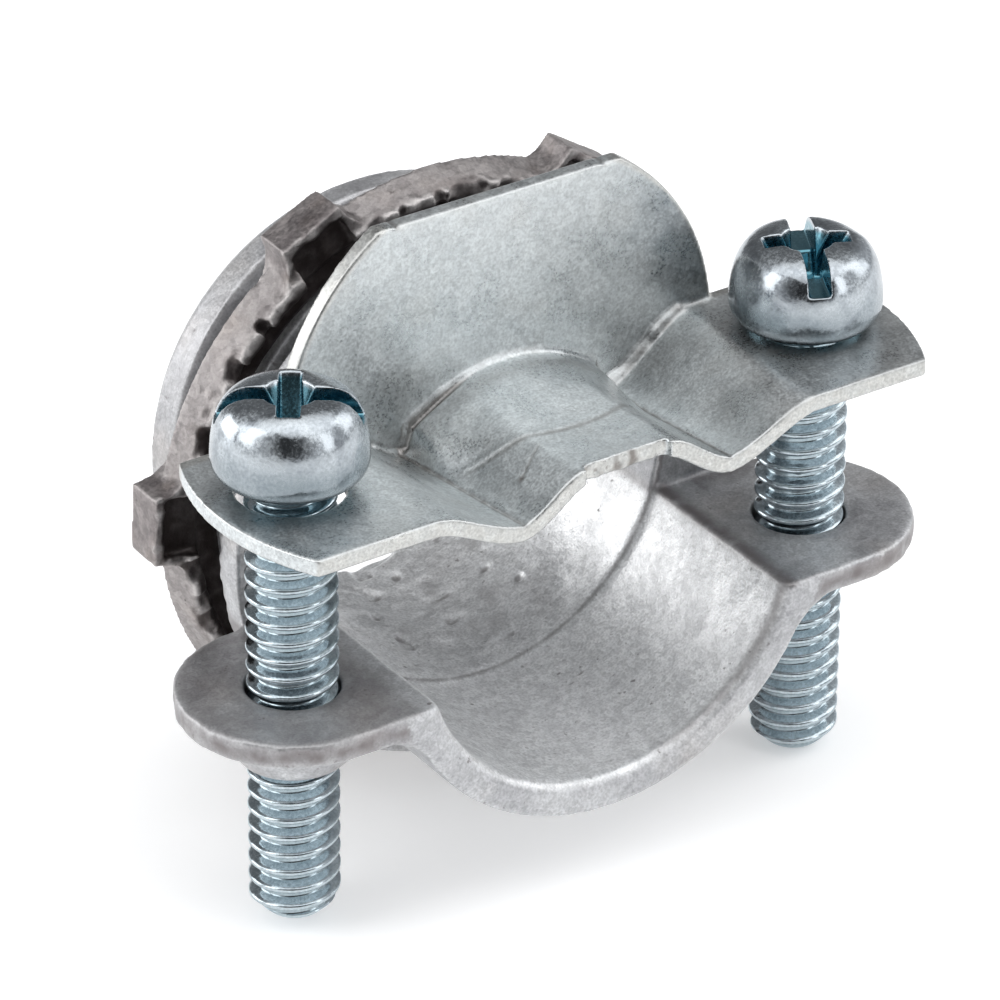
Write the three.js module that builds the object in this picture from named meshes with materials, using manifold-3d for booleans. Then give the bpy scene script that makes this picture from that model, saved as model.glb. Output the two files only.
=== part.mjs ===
// Two-screw clamp connector for non-metallic cable, 3/4 inch trade size.
// Millimetres. The bore runs along Y, its threaded nipple towards +Y and its cable side
// towards -Y. The origin is on the bore axis in the plane of the shoulder that meets the box wall.
import * as THREE from 'three';
import { mergeVertices } from 'three/addons/utils/BufferGeometryUtils.js';
import Module from 'manifold-3d';

const wasm = await Module();
wasm.setup();

const INCH = 25.4;
const ROUND = 60;

// Connector body
const BORE_R = 11.35;
const CRADLE_WALL = 1.93;
const CRADLE_R = BORE_R + CRADLE_WALL;
const CRADLE_FRONT_Y = -14.05;
const COLLAR_R = 15.6;
const COLLAR_THICK = 1.8;
const COLLAR_CHAMFER = 0.3;
const NIPPLE_LENGTH = 11.4;
const NIPPLE_BORE_R = 11.1;
const NIPPLE_CREST_R = 13.15;
const NIPPLE_ROOT_R = 11.95;
const NIPPLE_PITCH = INCH / 14;
const NIPPLE_CHAMFER = 0.8;
const RELIEF_LENGTH = 2.4;

// Ears of the body
const SCREW_X = 16;
const SCREW_Y = -7.86;
const EAR_TOP_Z = -3.41;
const EAR_THICK = 1.45;
const EAR_R = 6.19;
const BOSS_TOP_R = 4.3;
const LEFT_BOSS = { footR: 3.0, depth: 2.8 };
const RIGHT_BOSS = { footR: 3.5, depth: 1.2 };
const TAPPED_HOLE_R = 2.68;

// Clamp screws, number 10-24 by one inch
const SCREW_CREST_R = 4.826 / 2;
const SCREW_ROOT_R = 1.86;
const SCREW_PITCH = INCH / 24;
const SCREW_LENGTH = 26.1;
const SCREW_TIP = 1.0;
const SCREW_TIP_R = 1.45;
const SHANK_LENGTH = 1.6;
const HEAD_R = 4.1;
const HEAD_FOOT_R = 3.2;
const HEAD_HEIGHT = 4.6;
const HEAD_WAIST = 1.1;
const CROWN_FULLNESS = 0.36;
const SLOT_WIDTH = 1.2;
const SLOT_DEPTH = 1.6;
const CROSS_WIDTH = 1.15;
const CROSS_REACH = 2.5;
const CROSS_DEPTH = 2.7;
const CROSS_FOOT_REACH = 0.9;
const LEFT_HEAD_Z = 9.1;
const RIGHT_HEAD_Z = 8.45;
const LEFT_SLOT_TURN = -0.6;
const RIGHT_SLOT_TURN = 1.14;

// Clamp strap
const STRAP_THICK = 1.0;
const STRAP_TOP_Z = 8.15;
const STRAP_FRONT_Y = -14.9;
const STRAP_BACK_Y = -2.5;
const STRAP_END_R = 13.44;
const STRAP_END_X = 7.15;
const STRAP_END_Y = -8.1;
const VALLEY_X = 6.4;
const VALLEY_FRONT_Z = 6.25;
const VALLEY_BACK_Z = 4.8;
const VALLEY_TOP_X = 11.6;
const ARCH_HALF = 2.8;
const ARCH_FRONT_Z = 8.3;
const ARCH_BACK_Z = 7.5;
const DOME_FRONT_Y = -10.2;
const DOME_SIDE_Y = -7.4;
const DOME_BACK_Z = 8.5;
const DOME_CURVE = 0.06;
const DOME_SHOULDER = 0.7;
const NOTCH_HALF = 2.6;
const NOTCH_DEPTH = 0.5;
const STRAP_HOLE_R = 2.85;
const PLATE_FRONT_Y = -3.1;
const PLATE_BACK_Y = PLATE_FRONT_Y + STRAP_THICK;
const PLATE_R = 13.44;
const PLATE_CENTRE_Z = 6.9;
const PLATE_TOP_Z = 18.1;

// Locknut
const NUT_BORE_R = 13.5;
const NUT_RIM_R = 16.73;
const NUT_RIM_INNER_R = 15.2;
const NUT_WEB_R = 14.8;
const NUT_FRONT_Y = 2.15;
const NUT_WEB_Y = 3.0;
const NUT_RIM_BACK_Y = 4.1;
const NUT_BACK_Y = 5.3;
const NUT_HUB_R = 15.1;
const NUT_CHAMFER = 0.4;
const LUG_COUNT = 6;
const LUG_FIRST = 57 * Math.PI / 180;
const LUG_R = 17.95;
const LUG_WIDTH = 4.2;
const LUG_BACK_Y = 4.7;
const LUG_CHAMFER = 0.35;
const TEETH_PER_BAY = 6;
const TEETH_SPREAD = 42 * Math.PI / 180;
const TOOTH_DEPTH = 0.6;
const TOOTH_ROOT = 0.28;

function solid(geometry) {
  const bare = geometry.clone();
  bare.deleteAttribute('normal');
  bare.deleteAttribute('uv');
  const welded = mergeVertices(bare, 1e-5);
  const corners = [];
  for (let i = 0; i < welded.index.count; i += 3) {
    const [a, b, c] = [welded.index.getX(i), welded.index.getX(i + 1), welded.index.getX(i + 2)];
    if (a !== b && b !== c && c !== a) {
      corners.push(a, b, c);
    }
  }
  const mesh = new wasm.Mesh({
    numProp: 3,
    vertProperties: new Float32Array(welded.attributes.position.array),
    triVerts: new Uint32Array(corners),
  });
  return new wasm.Manifold(mesh);
}

function geometryOf(manifold) {
  const mesh = manifold.getMesh();
  const geometry = new THREE.BufferGeometry();
  geometry.setAttribute('position', new THREE.BufferAttribute(mesh.vertProperties, 3));
  geometry.setIndex(new THREE.BufferAttribute(mesh.triVerts, 1));
  geometry.computeVertexNormals();
  return geometry;
}

function unite(parts) {
  return parts.reduce((whole, part) => whole.add(part));
}

// Stands a shape made about the Y axis upright on the Z axis, then moves it to x, y, z.
function stand(geometry, x, y, z) {
  geometry.rotateX(Math.PI / 2);
  geometry.translate(x, y, z);
  return geometry;
}

// Turned about the Y axis from an outline of [radius, y] pairs, listed anticlockwise.
function turned(outline, segments = ROUND) {
  const points = outline.map(([radius, y]) => new THREE.Vector2(radius, y));
  if (outline[0][0] > 0) {
    points.push(points[0].clone());
  }
  return new THREE.LatheGeometry(points, segments);
}

function cylinder(radius, y0, y1, segments = ROUND) {
  return turned([[0, y0], [radius, y0], [radius, y1], [0, y1]], segments);
}

function box(x0, x1, y0, y1, z0, z1) {
  const geometry = new THREE.BoxGeometry(x1 - x0, y1 - y0, z1 - z0);
  geometry.translate((x0 + x1) / 2, (y0 + y1) / 2, (z0 + z1) / 2);
  return geometry;
}

// A plan outline in X and Y, raised from z0 to z1.
function slab(shape, z0, z1, curveSegments = 24) {
  const settings = { depth: z1 - z0, bevelEnabled: false, curveSegments };
  const geometry = new THREE.ExtrudeGeometry(shape, settings);
  geometry.translate(0, 0, z0);
  return geometry;
}

// A front outline in X and Z, run from y0 to y1.
function upright(shape, y0, y1, curveSegments = 36) {
  const settings = { depth: y1 - y0, bevelEnabled: false, curveSegments };
  const geometry = new THREE.ExtrudeGeometry(shape, settings);
  geometry.rotateX(Math.PI / 2);
  geometry.translate(0, y1, 0);
  return geometry;
}

function polygon(corners) {
  return new THREE.Shape(corners.map(([x, y]) => new THREE.Vector2(x, y)));
}

// One right-handed helical ridge wound about Y. Its ends taper to points well beyond y0 and y1.
function helicalRod({ rootR, crestR, pitch, y0, y1, segments }) {
  const profile = [[0, rootR], [0.4, crestR], [0.6, crestR]];
  const perTurn = profile.length;
  const rows = perTurn * Math.ceil((y1 - y0) / pitch + 2) + 1;
  const positions = [];
  for (let row = 0; row < rows; row += 1) {
    const [fraction, radius] = profile[row % perTurn];
    const turn = Math.floor(row / perTurn) - 1;
    for (let step = 0; step < segments; step += 1) {
      const angle = 2 * Math.PI * step / segments;
      const y = y0 + pitch * (turn + fraction + step / segments);
      positions.push(radius * Math.cos(angle), y, -radius * Math.sin(angle));
    }
  }
  const lowTip = positions.length / 3;
  const highTip = lowTip + 1;
  positions.push(0, y0 - 3 * pitch, 0);
  positions.push(0, y1 + 5 * pitch, 0);
  // The column after the last one is the first column, one turn further along.
  const at = (row, step) => (step < segments ? row * segments + step : (row + perTurn) * segments);
  const top = rows - 1;
  const end = segments - 1;
  const triangles = [];
  for (let step = 0; step < segments; step += 1) {
    const covered = step < end ? top : top - perTurn;
    for (let row = 0; row < covered; row += 1) {
      const a = at(row, step);
      const b = at(row, step + 1);
      const c = at(row + 1, step + 1);
      const d = at(row + 1, step);
      triangles.push(a, b, c, a, c, d);
    }
    triangles.push(lowTip, at(0, step + 1), at(0, step));
    if (step < end) {
      triangles.push(highTip, at(top, step), at(top, step + 1));
    }
  }
  for (let row = 0; row < perTurn; row += 1) {
    triangles.push(lowTip, at(row, 0), at(row + 1, 0));
    triangles.push(highTip, at(top - row, end), at(top - row - 1, end));
  }
  triangles.push(highTip, at(top - perTurn, end), at(top, 0));
  const geometry = new THREE.BufferGeometry();
  geometry.setAttribute('position', new THREE.Float32BufferAttribute(positions, 3));
  geometry.setIndex(triangles);
  return geometry;
}

// Die-cast body: half-round cradle with two tapped ears, full collar and threaded nipple.
function connectorBody() {
  const overlap = 0.4;
  const collar = turned([
    [0, -COLLAR_THICK],
    [COLLAR_R - COLLAR_CHAMFER, -COLLAR_THICK],
    [COLLAR_R, COLLAR_CHAMFER - COLLAR_THICK],
    [COLLAR_R, -COLLAR_CHAMFER],
    [COLLAR_R - COLLAR_CHAMFER, 0],
    [0, 0],
  ]);
  const relief = cylinder(NIPPLE_ROOT_R, -overlap, RELIEF_LENGTH, 40);
  const thread = solid(helicalRod({
    rootR: NIPPLE_ROOT_R,
    crestR: NIPPLE_CREST_R,
    pitch: NIPPLE_PITCH,
    y0: 0,
    y1: NIPPLE_LENGTH,
    segments: 40,
  })).intersect(solid(turned([
    [0, RELIEF_LENGTH - overlap],
    [NIPPLE_ROOT_R - overlap, RELIEF_LENGTH - overlap],
    [NIPPLE_CREST_R + overlap, RELIEF_LENGTH + overlap],
    [NIPPLE_CREST_R + overlap, NIPPLE_LENGTH - NIPPLE_CHAMFER - overlap],
    [NIPPLE_CREST_R - NIPPLE_CHAMFER, NIPPLE_LENGTH],
    [0, NIPPLE_LENGTH],
  ])));
  const cradle = solid(cylinder(CRADLE_R, CRADLE_FRONT_Y, -overlap))
    .subtract(solid(box(-CRADLE_R - 1, CRADLE_R + 1, CRADLE_FRONT_Y - 1, 1, EAR_TOP_Z, CRADLE_R + 1)));
  const parts = [solid(collar), solid(relief), thread, cradle, solid(earBar())];
  for (const [side, { footR, depth }] of [[-1, LEFT_BOSS], [1, RIGHT_BOSS]]) {
    parts.push(solid(stand(turned([
      [0, -depth],
      [footR, -depth],
      [BOSS_TOP_R, 0],
      [BOSS_TOP_R, overlap],
      [0, overlap],
    ], 32), side * SCREW_X, SCREW_Y, EAR_TOP_Z - EAR_THICK)));
  }
  let whole = unite(parts)
    .subtract(solid(cylinder(BORE_R, CRADLE_FRONT_Y - 1, -COLLAR_THICK)))
    .subtract(solid(cylinder(NIPPLE_BORE_R, -COLLAR_THICK - 1, NIPPLE_LENGTH + 1)));
  for (const side of [-1, 1]) {
    const tappedHole = cylinder(TAPPED_HOLE_R, EAR_TOP_Z - 6, EAR_TOP_Z + 1, 32);
    whole = whole.subtract(solid(stand(tappedHole, side * SCREW_X, SCREW_Y, 0)));
  }
  return whole;
}

function earBar() {
  const shape = new THREE.Shape();
  shape.moveTo(-SCREW_X, SCREW_Y - EAR_R);
  shape.lineTo(SCREW_X, SCREW_Y - EAR_R);
  shape.absarc(SCREW_X, SCREW_Y, EAR_R, -Math.PI / 2, Math.PI / 2, false);
  shape.lineTo(-SCREW_X, SCREW_Y + EAR_R);
  shape.absarc(-SCREW_X, SCREW_Y, EAR_R, Math.PI / 2, 1.5 * Math.PI, false);
  return slab(shape, EAR_TOP_Z - EAR_THICK, EAR_TOP_Z, 20);
}

const smooth = (t) => t * t * (3 - 2 * t);
const clamped = (t) => Math.min(1, Math.max(0, t));

// Height of the strap's upper face: flat ears, a valley each side that deepens towards the
// plate, an arch between the valleys and a low dome on the arch in front of the plate.
function strapHeight(x, y) {
  const across = Math.abs(x);
  const back = clamped((y - STRAP_FRONT_Y) / (PLATE_FRONT_Y - STRAP_FRONT_Y));
  const valley = VALLEY_FRONT_Z + (VALLEY_BACK_Z - VALLEY_FRONT_Z) * back;
  if (across >= VALLEY_X) {
    const climb = clamped((across - VALLEY_X) / (VALLEY_TOP_X - VALLEY_X));
    return valley + (STRAP_TOP_Z - valley) * smooth(climb);
  }
  const arch = ARCH_FRONT_Z + (ARCH_BACK_Z - ARCH_FRONT_Z) * back;
  const climb = clamped((VALLEY_X - across) / (VALLEY_X - ARCH_HALF));
  const side = (across / VALLEY_X) ** 2;
  const domeFront = DOME_FRONT_Y + (DOME_SIDE_Y - DOME_FRONT_Y) * side;
  const along = clamped((y - domeFront) / (PLATE_FRONT_Y - domeFront));
  const plain = valley + (arch - valley) * smooth(climb);
  const dome = DOME_BACK_Z - DOME_CURVE * x * x;
  const shoulder = clamped((VALLEY_X - across) / DOME_SHOULDER);
  return plain + (dome - plain) * Math.sin(Math.PI / 2 * along) * shoulder;
}

// A closed sheet of even thickness under strapHeight, on a grid of x and y stations.
function formedSheet(xs, ys) {
  const positions = [];
  for (const drop of [0, STRAP_THICK]) {
    for (const y of ys) {
      for (const x of xs) {
        positions.push(x, y, strapHeight(x, y) - drop);
      }
    }
  }
  const layer = xs.length * ys.length;
  const at = (column, row, under) => row * xs.length + column + (under ? layer : 0);
  const triangles = [];
  const quad = (a, b, c, d) => triangles.push(a, b, c, a, c, d);
  const lastColumn = xs.length - 1;
  const lastRow = ys.length - 1;
  for (let row = 0; row < lastRow; row += 1) {
    for (let column = 0; column < lastColumn; column += 1) {
      const right = column + 1;
      const back = row + 1;
      quad(at(column, row), at(right, row), at(right, back), at(column, back));
      quad(at(column, row, 1), at(column, back, 1), at(right, back, 1), at(right, row, 1));
    }
    quad(at(0, row), at(0, row + 1), at(0, row + 1, 1), at(0, row, 1));
    quad(at(lastColumn, row), at(lastColumn, row, 1), at(lastColumn, row + 1, 1), at(lastColumn, row + 1));
  }
  for (let column = 0; column < lastColumn; column += 1) {
    const right = column + 1;
    quad(at(column, 0), at(column, 0, 1), at(right, 0, 1), at(right, 0));
    quad(at(column, lastRow), at(right, lastRow), at(right, lastRow, 1), at(column, lastRow, 1));
  }
  const geometry = new THREE.BufferGeometry();
  geometry.setAttribute('position', new THREE.Float32BufferAttribute(positions, 3));
  geometry.setIndex(triangles);
  return geometry;
}

// Stations from one value to another, both included.
function stations(from, to, count) {
  return Array.from({ length: count + 1 }, (unused, i) => from + (to - from) * i / count);
}

// Stamped steel strap: ears with screw holes, pressed valleys and arch, upright half-round plate.
function clampStrap() {
  const margin = 1;
  const halfXs = [
    0,
    ARCH_HALF / 2,
    ...stations(ARCH_HALF, VALLEY_X, 5),
    ...stations(VALLEY_X, VALLEY_TOP_X, 6).slice(1),
    STRAP_END_X + STRAP_END_R + margin,
  ];
  const xs = [...halfXs.slice(1).map((x) => -x).reverse(), ...halfXs];
  const domeYs = stations(DOME_FRONT_Y, PLATE_FRONT_Y, 6);
  const ys = [STRAP_FRONT_Y - margin, STRAP_FRONT_Y, ...domeYs, STRAP_BACK_Y];

  const frontReach = Math.acos((STRAP_END_Y - STRAP_FRONT_Y) / STRAP_END_R);
  const backReach = Math.acos((STRAP_BACK_Y - STRAP_END_Y) / STRAP_END_R);
  const quarter = Math.PI / 2;
  const plan = new THREE.Shape();
  plan.absarc(STRAP_END_X, STRAP_END_Y, STRAP_END_R, frontReach - quarter, quarter - backReach, false);
  plan.absarc(-STRAP_END_X, STRAP_END_Y, STRAP_END_R, quarter + backReach, 3 * quarter - frontReach, false);

  const side = Math.sqrt(PLATE_R ** 2 - (STRAP_TOP_Z - STRAP_THICK / 2 - PLATE_CENTRE_Z) ** 2);
  const foot = stations(-side, side, 26)
    .map((x) => new THREE.Vector2(x, strapHeight(x, PLATE_FRONT_Y) - STRAP_THICK / 2));
  const lowTurn = Math.asin((STRAP_TOP_Z - STRAP_THICK / 2 - PLATE_CENTRE_Z) / PLATE_R);
  const highTurn = Math.asin((PLATE_TOP_Z - PLATE_CENTRE_Z) / PLATE_R);
  const face = new THREE.Shape(foot);
  face.absarc(0, PLATE_CENTRE_Z, PLATE_R, lowTurn, highTurn, false);
  face.absarc(0, PLATE_CENTRE_Z, PLATE_R, Math.PI - highTurn, Math.PI - lowTurn, false);

  let whole = solid(formedSheet(xs, ys))
    .intersect(solid(slab(plan, 0, DOME_BACK_Z + margin)))
    .add(solid(upright(face, PLATE_FRONT_Y, PLATE_BACK_Y, 16)))
    .subtract(solid(box(
      -NOTCH_HALF,
      NOTCH_HALF,
      STRAP_FRONT_Y - margin,
      STRAP_FRONT_Y + NOTCH_DEPTH,
      VALLEY_FRONT_Z,
      ARCH_FRONT_Z + margin,
    )));
  for (const sign of [-1, 1]) {
    const hole = cylinder(STRAP_HOLE_R, STRAP_TOP_Z - STRAP_THICK - margin, STRAP_TOP_Z + margin, 32);
    whole = whole.subtract(solid(stand(hole, sign * SCREW_X, SCREW_Y, 0)));
  }
  return whole;
}

// Pan-head screw with a slot and a cross recess. Head seat at y = 0, tip at -SCREW_LENGTH.
function clampScrew() {
  const segments = 14;
  const tip = -SCREW_LENGTH;
  const thread = solid(helicalRod({
    rootR: SCREW_ROOT_R,
    crestR: SCREW_CREST_R,
    pitch: SCREW_PITCH,
    y0: tip,
    y1: -SHANK_LENGTH,
    segments,
  })).intersect(solid(turned([
    [0, tip],
    [SCREW_TIP_R, tip],
    [SCREW_CREST_R + 0.1, tip + SCREW_TIP],
    [SCREW_CREST_R + 0.1, -SHANK_LENGTH],
    [0, -SHANK_LENGTH],
  ], segments)));
  const shank = cylinder(SCREW_CREST_R, -SHANK_LENGTH - SCREW_PITCH / 4, HEAD_HEIGHT / 4, segments * 2);

  const outline = [[0, 0]];
  for (const angle of stations(0, Math.PI / 2, 4)) {
    const bulge = HEAD_FOOT_R + (HEAD_R - HEAD_FOOT_R) * Math.sin(angle);
    outline.push([bulge, HEAD_WAIST * (1 - Math.cos(angle))]);
  }
  for (const angle of stations(0, Math.PI / 2, 8).slice(1)) {
    const radius = HEAD_R * Math.max(0, Math.cos(angle)) ** CROWN_FULLNESS;
    outline.push([radius, HEAD_WAIST + (HEAD_HEIGHT - HEAD_WAIST) * Math.sin(angle)]);
  }
  outline[outline.length - 1][0] = 0;

  const over = 1;
  const slotHalf = HEAD_R + over;
  const slot = box(
    -slotHalf,
    slotHalf,
    HEAD_HEIGHT - SLOT_DEPTH,
    HEAD_HEIGHT + over,
    -SLOT_WIDTH / 2,
    SLOT_WIDTH / 2,
  );
  let whole = unite([thread, solid(shank), solid(turned(outline, 32))]);
  whole = whole.subtract(solid(slot));
  for (const turn of [0, Math.PI / 2]) {
    const wing = new THREE.ExtrudeGeometry(polygon([
      [-CROSS_FOOT_REACH, HEAD_HEIGHT - CROSS_DEPTH],
      [CROSS_FOOT_REACH, HEAD_HEIGHT - CROSS_DEPTH],
      [CROSS_REACH, HEAD_HEIGHT + 0.2],
      [-CROSS_REACH, HEAD_HEIGHT + 0.2],
    ]), { depth: CROSS_WIDTH, bevelEnabled: false });
    wing.translate(0, 0, -CROSS_WIDTH / 2);
    wing.rotateY(turn);
    whole = whole.subtract(solid(wing));
  }
  return whole;
}

// Die-cast locknut: dished ring with a toothed front rim and square lugs for a hammer and driver.
function locknut() {
  const ring = solid(turned([
    [NUT_BORE_R + NUT_CHAMFER, NUT_WEB_Y],
    [NUT_WEB_R, NUT_WEB_Y],
    [NUT_RIM_INNER_R, NUT_FRONT_Y],
    [NUT_RIM_R - NUT_CHAMFER, NUT_FRONT_Y],
    [NUT_RIM_R, NUT_FRONT_Y + NUT_CHAMFER],
    [NUT_RIM_R, NUT_RIM_BACK_Y - NUT_CHAMFER],
    [NUT_RIM_R - NUT_CHAMFER, NUT_RIM_BACK_Y],
    [NUT_HUB_R + NUT_CHAMFER, NUT_RIM_BACK_Y],
    [NUT_HUB_R, NUT_BACK_Y],
    [NUT_BORE_R + NUT_CHAMFER, NUT_BACK_Y],
    [NUT_BORE_R, NUT_BACK_Y - NUT_CHAMFER],
    [NUT_BORE_R, NUT_WEB_Y + NUT_CHAMFER],
  ]));
  const lugs = [];
  const cuts = [];
  const half = LUG_WIDTH / 2;
  const lugOutline = polygon([
    [NUT_WEB_R, -half],
    [LUG_R - LUG_CHAMFER, -half],
    [LUG_R, LUG_CHAMFER - half],
    [LUG_R, half - LUG_CHAMFER],
    [LUG_R - LUG_CHAMFER, half],
    [NUT_WEB_R, half],
  ]);
  const toothStep = TEETH_SPREAD / TEETH_PER_BAY;
  const toothWidth = toothStep * NUT_RIM_R * (1 - TOOTH_ROOT);
  const toothGap = polygon([
    [-toothWidth / 2, NUT_FRONT_Y - 0.2],
    [toothWidth / 2, NUT_FRONT_Y - 0.2],
    [toothWidth / 2, NUT_FRONT_Y],
    [toothWidth / 4, NUT_FRONT_Y + TOOTH_DEPTH],
    [-toothWidth / 2, NUT_FRONT_Y + TOOTH_DEPTH / 4],
  ]);
  for (let bay = 0; bay < LUG_COUNT; bay += 1) {
    const lugAngle = LUG_FIRST + 2 * Math.PI * bay / LUG_COUNT;
    const lug = upright(lugOutline, NUT_FRONT_Y, LUG_BACK_Y);
    lug.rotateY(-lugAngle);
    lugs.push(solid(lug));
    const bayMiddle = lugAngle + Math.PI / LUG_COUNT;
    for (let tooth = 0; tooth < TEETH_PER_BAY; tooth += 1) {
      const angle = bayMiddle + toothStep * (tooth - (TEETH_PER_BAY - 1) / 2);
      const gap = new THREE.ExtrudeGeometry(toothGap, { depth: 3, bevelEnabled: false });
      gap.translate(0, 0, NUT_WEB_R - 0.5);
      gap.rotateY(Math.PI / 2 - angle);
      cuts.push(solid(gap));
    }
  }
  return unite([ring, ...lugs]).subtract(unite(cuts));
}

const group = new THREE.Group();

function addPart(name, geometry, color, metalness, roughness) {
  const material = new THREE.MeshStandardMaterial({ color, metalness, roughness });
  material.name = `${name}_finish`;
  const mesh = new THREE.Mesh(geometry, material);
  mesh.name = name;
  group.add(mesh);
}

function placedScrew(x, headZ, turn) {
  const geometry = geometryOf(clampScrew());
  geometry.rotateX(Math.PI / 2);
  geometry.rotateZ(turn);
  geometry.translate(x, SCREW_Y, headZ);
  return geometry;
}

addPart('connector_body', geometryOf(connectorBody()), 0xa9a7a6, 0.9, 0.5);
addPart('clamp_strap', geometryOf(clampStrap()), 0xa4a9ab, 0.9, 0.45);
addPart('left_clamp_screw', placedScrew(-SCREW_X, LEFT_HEAD_Z, LEFT_SLOT_TURN), 0xb9c3c9, 1, 0.25);
addPart('right_clamp_screw', placedScrew(SCREW_X, RIGHT_HEAD_Z, RIGHT_SLOT_TURN), 0xb9c3c9, 1, 0.25);
addPart('locknut', geometryOf(locknut()), 0x7d7673, 0.9, 0.5);

export default group;
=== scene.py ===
import math

import bpy
import numpy as np
from mathutils import Matrix, Vector


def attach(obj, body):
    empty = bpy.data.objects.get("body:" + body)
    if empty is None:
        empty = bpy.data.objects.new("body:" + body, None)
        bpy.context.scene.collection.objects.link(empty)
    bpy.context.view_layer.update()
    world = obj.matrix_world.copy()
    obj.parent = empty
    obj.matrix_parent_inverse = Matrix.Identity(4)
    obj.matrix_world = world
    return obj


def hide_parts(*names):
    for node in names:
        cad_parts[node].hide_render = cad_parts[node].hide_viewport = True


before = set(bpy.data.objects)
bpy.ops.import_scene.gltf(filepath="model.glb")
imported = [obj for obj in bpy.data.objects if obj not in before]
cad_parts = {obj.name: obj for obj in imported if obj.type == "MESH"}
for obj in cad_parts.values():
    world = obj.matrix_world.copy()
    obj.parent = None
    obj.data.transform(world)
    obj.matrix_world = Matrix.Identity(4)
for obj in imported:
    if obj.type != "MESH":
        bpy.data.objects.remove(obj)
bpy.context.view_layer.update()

# Shapes are drawn in millimetres and brought to metres when each piece is finished.
MM = 0.001

BORE_R = 11.35
CRADLE_R = 13.28
CRADLE_FRONT = -14.03
COLLAR_R = 15.58
COLLAR_THICK = 1.8
NIPPLE_LENGTH = 11.36
NIPPLE_BORE_R = 11.1
NIPPLE_CREST_R = 13.15
NIPPLE_ROOT_R = 11.95
NIPPLE_PITCH = 25.4 / 14

SCREW_X = 16.0
SCREW_Y = -7.86
EAR_TOP = -3.41
EAR_THICK = 1.45
EAR_R = 6.17
BOSS_TOP_R = 4.3
LEFT_BOSS = (2.95, 2.75)  # radius at the foot, depth
RIGHT_BOSS = (3.45, 1.2)
TAPPED_HOLE_R = 2.5
OVERLAP = 0.4  # how far neighbouring solids run into each other before a union

SCREW_CREST_R = 2.413
SCREW_ROOT_R = 1.84
SCREW_PITCH = 25.4 / 24
SCREW_LENGTH = 26.1
HEAD_R = 4.1
HEAD_FOOT_R = 3.2
HEAD_HEIGHT = 4.58
HEAD_WAIST = 1.1
CROWN_FULLNESS = 0.36
SLOT_HALF = 0.6
SLOT_FLOOR = 3.0
CROSS_HALF = 0.58
CROSS_FLOOR = 1.9
LEFT_HEAD_Z = 9.1
RIGHT_HEAD_Z = 8.45
LEFT_SLOT_TURN = -0.6
RIGHT_SLOT_TURN = 1.14

STRAP_THICK = 1.0
STRAP_TOP = 8.15
STRAP_FRONT = -14.85
STRAP_BACK = -2.5
STRAP_END_R = 13.42
STRAP_END_X = 7.15
STRAP_END_Y = -8.1
VALLEY_X = 6.4
VALLEY_TOP_X = 11.6
VALLEY_FRONT_Z = 6.25
VALLEY_FALL = 1.45
ARCH_HALF = 2.8
ARCH_FRONT_Z = 8.3
ARCH_FALL = 0.8
DOME_FRONT = -10.2
DOME_SIDE = -7.4
DOME_BACK = 8.5
DOME_CURVE = 0.06
DOME_SHOULDER = 0.5
NOTCH_HALF = 2.6
NOTCH_DEPTH = 0.5
STRAP_HOLE_R = 2.85
PLATE_FRONT = -3.1
PLATE_R = 13.42
PLATE_CENTRE = 6.9
PLATE_TOP = 18.08

NUT_FRONT = 2.05
NUT_WEB = 3.25
NUT_BACK = 5.28
NUT_RIM_R = 16.7
NUT_EDGE_R = 16.0
NUT_BORE_R = 13.35
LUG_COUNT = 6
LUG_R = 17.93
LUG_WIDTH = 4.2
LUG_FIRST = math.radians(57)
TEETH_PER_BAY = 7

# Size of the remesh cells: the finer the detail, the smaller the cell.
BODY_CELL = 0.16
STRAP_CELL = 0.125
HEAD_CELL = 0.075
NUT_CELL = 0.14


# Mesh helpers

def new_object(name, points, faces):
    mesh = bpy.data.meshes.new(name)
    mesh.from_pydata([tuple(p) for p in points], [], faces)
    mesh.validate()
    mesh.update()
    obj = bpy.data.objects.new(name, mesh)
    bpy.context.scene.collection.objects.link(obj)
    return obj


def discard(obj):
    mesh = obj.data
    bpy.data.objects.remove(obj)
    bpy.data.meshes.remove(mesh)


def bake(obj):
    """Turns the object's modifiers into its mesh."""
    graph = bpy.context.evaluated_depsgraph_get()
    made = bpy.data.meshes.new_from_object(obj.evaluated_get(graph))
    old = obj.data
    obj.modifiers.clear()
    obj.data = made
    bpy.data.meshes.remove(old)
    return obj


def combine(obj, others, operation):
    for other in others:
        step = obj.modifiers.new("step", "BOOLEAN")
        step.operation = operation
        step.object = other
        step.solver = "EXACT"
        bake(obj)
        discard(other)
    return obj


def cut(obj, *tools):
    return combine(obj, tools, "DIFFERENCE")


def add(obj, *others):
    return combine(obj, others, "UNION")


def keep(obj, limit):
    return combine(obj, [limit], "INTERSECT")


def remeshed(obj, voxel):
    """One even skin around everything in the object."""
    step = obj.modifiers.new("remesh", "REMESH")
    step.mode = "VOXEL"
    step.voxel_size = voxel
    return bake(obj)


def closed_ring(rows, segments, closed):
    faces = []
    for ring in range(rows if closed else rows - 1):
        low = ring * segments
        high = (ring + 1) % rows * segments
        for i in range(segments):
            j = (i + 1) % segments
            faces.append((low + i, low + j, high + j, high + i))
    return faces


def turned(outline, segments=160):
    """Revolves (radius, y) pairs about Y, listed anticlockwise. A ring's outline closes on itself."""
    closed = outline[0][0] > 0
    inner = outline if closed else outline[1:-1]
    points = []
    for radius, y in inner:
        for angle in np.arange(segments) * 2 * math.pi / segments:
            points.append((radius * math.sin(angle), y, radius * math.cos(angle)))
    faces = closed_ring(len(inner), segments, closed)
    if not closed:
        last = (len(inner) - 1) * segments
        faces.append(tuple(range(segments - 1, -1, -1)))
        faces.append(tuple(range(last, last + segments)))
    return new_object("turned", points, faces)


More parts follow.
